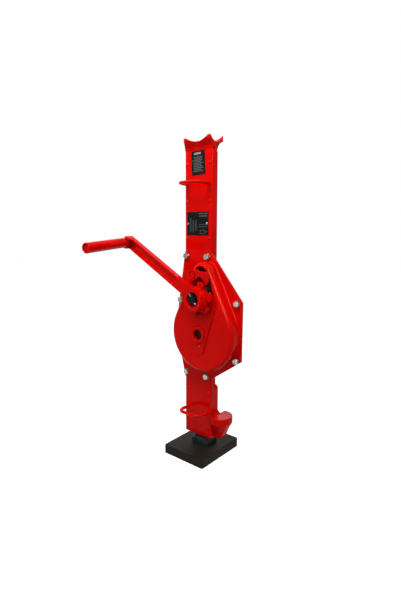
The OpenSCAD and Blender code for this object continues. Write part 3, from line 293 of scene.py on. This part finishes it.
# Column: two pressed channels riveted together, in gloss red enamel. The enamel's tone drifts a
# little over broad patches, and it has a fine orange-peel ripple of 2 to 3 mm.
WARM_GLOSS = "#ffd2b8"
red_enamel = finish("gloss_red_enamel", "#cc0401", "#bb0201", 0.12, blotch_mm=70, grain_mm=2.6,
                    bump_mm=0.012, specular=0.05, rough_spread=0.02, gloss_tint=WARM_GLOSS)
for node, edge_mm in (("front_channel", 0.6), ("rear_channel", 0.6), ("left_wing_plate", 0.7),
                      ("right_wing_plate", 0.7), ("rear_gear_box", 1.0)):
    dressed(node, edge_mm, red_enamel, "housing")
for node in ("channel_rivets", "bearing_plate_rivets"):
    dressed(node, 0.25, red_enamel, "housing")

# Head: a forging with four flared horns, welded on top of the column and painted with it. A
# forging has no sharp edge left, so its copy is remeshed and relaxed.
RELAX_SHARE = 0.6
FORGED_SMOOTH_DEG = 70


def forged(node, voxel_mm, rounds, material, body):
    """Stands for a CAD node with every edge softened as a hot forging's is."""
    bm = merged_copy(node)
    mesh = bpy.data.meshes.new(node + "_blank")
    bm.to_mesh(mesh)
    bm.free()
    blank = bpy.data.objects.new(node + "_blank", mesh)
    scene.collection.objects.link(blank)
    skin = blank.modifiers.new("skin", "REMESH")
    skin.mode = "VOXEL"
    skin.voxel_size = voxel_mm * MM
    relax = blank.modifiers.new("relax", "SMOOTH")
    relax.factor = RELAX_SHARE
    relax.iterations = rounds
    depsgraph = bpy.context.evaluated_depsgraph_get()
    soft = bpy.data.meshes.new_from_object(blank.evaluated_get(depsgraph))
    bpy.data.objects.remove(blank)
    bm = bmesh.new()
    bm.from_mesh(soft)
    return piece_from(bm, node + "_forging", material, body, [node], FORGED_SMOOTH_DEG,
                      weighted=False)


forging_enamel = finish("red_enamel_on_forging", "#cc0502", "#ae0201", 0.33, blotch_mm=30,
                        grain_mm=3.5, bump_mm=0.12, specular=0.06, rough_spread=0.07,
                        gloss_tint=WARM_GLOSS)
forged("head_crown", 1.0, 16, forging_enamel, "housing")

# Claw: a forging welded to the column's side, with a rounded toe that goes under low loads. Its
# skin is coarser than the sheet metal's.
forged("lift_claw", 1.2, 10, forging_enamel, "housing")

# Gear case: the domed pressing, the kite-shaped plate on it and the bush for the main shaft, all
# in the same enamel. The dome rises from its flange in a concave round, as a pressing does, and its
# edges are soft, while the plate's are cut.
BASE_ROUND_MM = 3.2
BASE_ROUND_STEPS = 4
BASE_CORNER_DEG = 40
CUT_ROUND_MM = 0.7
CUT_ROUND_STEPS = 2
CUT_EDGE_DEG = 50
COVER_SMOOTH_DEG = 34
FLAT_TOLERANCE_MM = 0.02
cover = flat_copy("gear_cover")
flange_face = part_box("cover_washers")[1][1]
dome_foot = [
    e for e in cover.edges
    if e.is_manifold and e.calc_face_angle_signed() < -math.radians(BASE_CORNER_DEG)
    and all(abs(v.co.y - flange_face) < FLAT_TOLERANCE_MM * MM for v in e.verts)]
round_off(cover, dome_foot, BASE_ROUND_MM, BASE_ROUND_STEPS, clamp=False)
round_off(cover, edges_over(cover, CUT_EDGE_DEG), CUT_ROUND_MM, CUT_ROUND_STEPS)
piece_from(cover, "gear_cover_dressed", red_enamel, "housing", ["gear_cover"],
           COVER_SMOOTH_DEG)
dressed("cover_bearing_plate", 0.5, red_enamel, "housing")
dressed("gear_shaft_bush", 0.8, red_enamel, "housing", steps=3)

# Bolts, washers and nuts: cold-headed steel, bright zinc plated. Zinc is pale and slightly
# clouded, and its chamfers show as bright rings.
zinc = finish("bright_zinc_plate", "#b4b6b1", "#6f726d", 0.24, metallic=1.0, blotch_mm=3,
              grain_mm=0.5, bump_mm=0.015)
for node in ("cover_bolts", "cover_washers", "cover_nuts", "label_rivets"):
    dressed(node, 0.3, zinc, "housing")
dressed("cotter_pin", 0.2, zinc, "crank")

# Bails: round rod bent cold, pushed through the column and welded inside, and painted with it.
# They are shaded smooth around the rod and along its bends.
for node in ("upper_bail", "lower_bail"):
    dressed(node, 0.3, red_enamel, "housing", smooth_deg=50)

# Labels: printed foil, left without words. Pale and grey bars stand where print would be, on
# black; the upper label's print is a little askew, as it was stuck on by hand.
label_black = finish("black_printed_foil", "#141817", "#0b0d0d", 0.45, blotch_mm=12, grain_mm=0.8,
                     bump_mm=0.01, specular=0.04)
dressed("upper_label", 0.1, label_black, "housing")
dressed("lower_label", 0.1, label_black, "housing")
PRINT_MM = 0.06
LABEL_TILT_DEG = -2.6


def printed(name, label, bars, material, tilt_deg=0.0):
    """Thin printed bars on a label: x and z from its middle, width and height, all in mm."""
    low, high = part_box(label)
    middle = [(a + b) / 2 for a, b in zip(low, high)]
    bm = bmesh.new()
    for x, z, width, height in bars:
        bar = bmesh.ops.create_cube(bm, size=1.0)["verts"]
        bmesh.ops.scale(bm, vec=(width * MM, PRINT_MM * MM, height * MM), verts=bar)
        bmesh.ops.translate(bm, vec=(x * MM, 0, z * MM), verts=bar)
    bmesh.ops.rotate(bm, cent=(0, 0, 0), matrix=Matrix.Rotation(math.radians(tilt_deg), 3, "Y"),
                     verts=bm.verts)
    bmesh.ops.translate(bm, vec=(middle[0], low[1], middle[2]), verts=bm.verts)
    return piece_from(bm, name, material, "housing", weighted=False)


def uneven(middle, swing, turn, k):
    """A measure that goes up and down from bar to bar, so that their ends don't line up."""
    return middle + swing * math.sin(turn * k)


pale_print = finish("pale_screen_print", "#7c807e", "#6c706e", 0.45, blotch_mm=6, grain_mm=0.7,
                    bump_mm=0.01)
grey_print = finish("grey_screen_print", "#45423e", "#343230", 0.5, blotch_mm=4, grain_mm=0.7,
                    bump_mm=0.01)
# Rows of unequal length, as a plate of data has, with no letter in them.
UPPER_ROWS = 10
UPPER_TOP_MM = 12.5
UPPER_PITCH_MM = 3.4
UPPER_ROW_MM = 1.7
upper_rows = [(uneven(-1.0, 1.5, 2.1, k), UPPER_TOP_MM - UPPER_PITCH_MM * k,
               uneven(25, 5, 3.7, k), UPPER_ROW_MM) for k in range(UPPER_ROWS)]
upper_title = [(-1.5, 20.0, 20.0, 4.2)]
printed("upper_label_rows", "upper_label", upper_rows, grey_print, LABEL_TILT_DEG)
printed("upper_label_title", "upper_label", upper_title, pale_print, LABEL_TILT_DEG)
# On the lower label: two rows, an empty box with a short bar beside it, and faint upright bars.
LOWER_ROWS = 2
LOWER_TOP_MM = 22.0
LOWER_PITCH_MM = 5.5
LOWER_WIDE_MM = 26
LOWER_NARROWING_MM = 3
LOWER_ROW_MM = 2.2
FAINT_BARS = 3
FAINT_FROM_MM = -21
FAINT_PITCH_MM = 8
FAINT_WIDE_MM = 3.0
FAINT_TALL_MM = 32
FAINT_SHORTENING_MM = 4
lower_rows = [(uneven(16.0, 1, 3, k), LOWER_TOP_MM - LOWER_PITCH_MM * k,
               LOWER_WIDE_MM - LOWER_NARROWING_MM * k, LOWER_ROW_MM) for k in range(LOWER_ROWS)]
lower_rows += [(14.5, -22.5, 14, 1.0), (14.5, -15.5, 14, 1.0), (7.5, -19, 1, 8),
               (21.5, -19, 1, 8), (25.5, -18.5, 4, LOWER_ROW_MM)]
lower_faint = [(FAINT_FROM_MM + FAINT_PITCH_MM * k, uneven(-3.0, 3, 5, k), FAINT_WIDE_MM,
                FAINT_TALL_MM - FAINT_SHORTENING_MM * k) for k in range(FAINT_BARS)]
lower_faint += [(15.0, -2.5, 22, 1.6), (15.0, -7.5, 25, 1.6)]
printed("lower_label_rows", "lower_label", lower_rows, grey_print)
dark_print = finish("dark_screen_print", "#1f2423", "#191d1c", 0.45, blotch_mm=6, grain_mm=0.7,
                    bump_mm=0.01)
printed("lower_label_fields", "lower_label", lower_faint, dark_print)

# Ratchet, pawl and crank: forgings machined where they run, and enamelled red outside. The arm is
# the heaviest of them and has the softest edges.
dressed("ratchet_wheel", 0.7, red_enamel, "crank")
dressed("pawl", 0.8, red_enamel, "pawl")
dressed("pawl_pin", 0.5, red_enamel, "housing")
dressed("crank_arm", 1.5, red_enamel, "crank", steps=3)
dressed("fold_pin", 0.4, red_enamel, "crank")

# Grip: a thick sleeve that spins on the stem, with a dark recess at its end that holds the
# riveted washer.
dressed("grip_stem", 0.5, red_enamel, "grip_stem")
dressed("grip_sleeve", 0.9, red_enamel, "grip_sleeve", steps=3)
dressed("grip_end_cap", 0.5, red_enamel, "grip_stem")

# Castle nut: black oxide steel, seen in the hub's pocket with the cotter through its slots. The
# shafts' ends, which show in the hub and in the dome's bush, are given the same near-black as
# painted shade in their deep recesses.
black_oxide = finish("black_oxide", "#0e0d0d", "#050505", 0.4, metallic=0.2, blotch_mm=6,
                     grain_mm=0.6, bump_mm=0.02, specular=0.1)
dressed("castle_nut", 0.3, black_oxide, "crank")

# What runs inside the case keeps its CAD mesh: oiled gears, bronze bushes and pads, brake linings,
# shafts in near-black as painted shade for their recessed ends, and the brake's flange and the
# pawl's spacer in the housing's red.
bronze = finish("oiled_bronze", "#a07a3c", "#6d5226", 0.32, metallic=1.0, blotch_mm=12,
                grain_mm=0.8)
lining = finish("brake_lining", "#2c2723", "#171412", 0.8, blotch_mm=5, grain_mm=0.8, bump_mm=0.08)
INNER = {
    "inner_bearing_plate": rack_steel, "pinion_shaft": black_oxide, "main_gear": rack_steel,
    "gear_key": rack_steel, "crank_shaft": black_oxide, "brake_flange": red_enamel,
    "shaft_circlip": black_oxide, "slide_pads": bronze, "crank_shaft_bush": bronze,
    "rear_bush": bronze, "inner_bush": bronze, "friction_discs": lining, "pawl_spacer": red_enamel,
}
for node, material in INNER.items():
    for material_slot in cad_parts[node].material_slots:
        material_slot.link = "OBJECT"
        material_slot.material = material
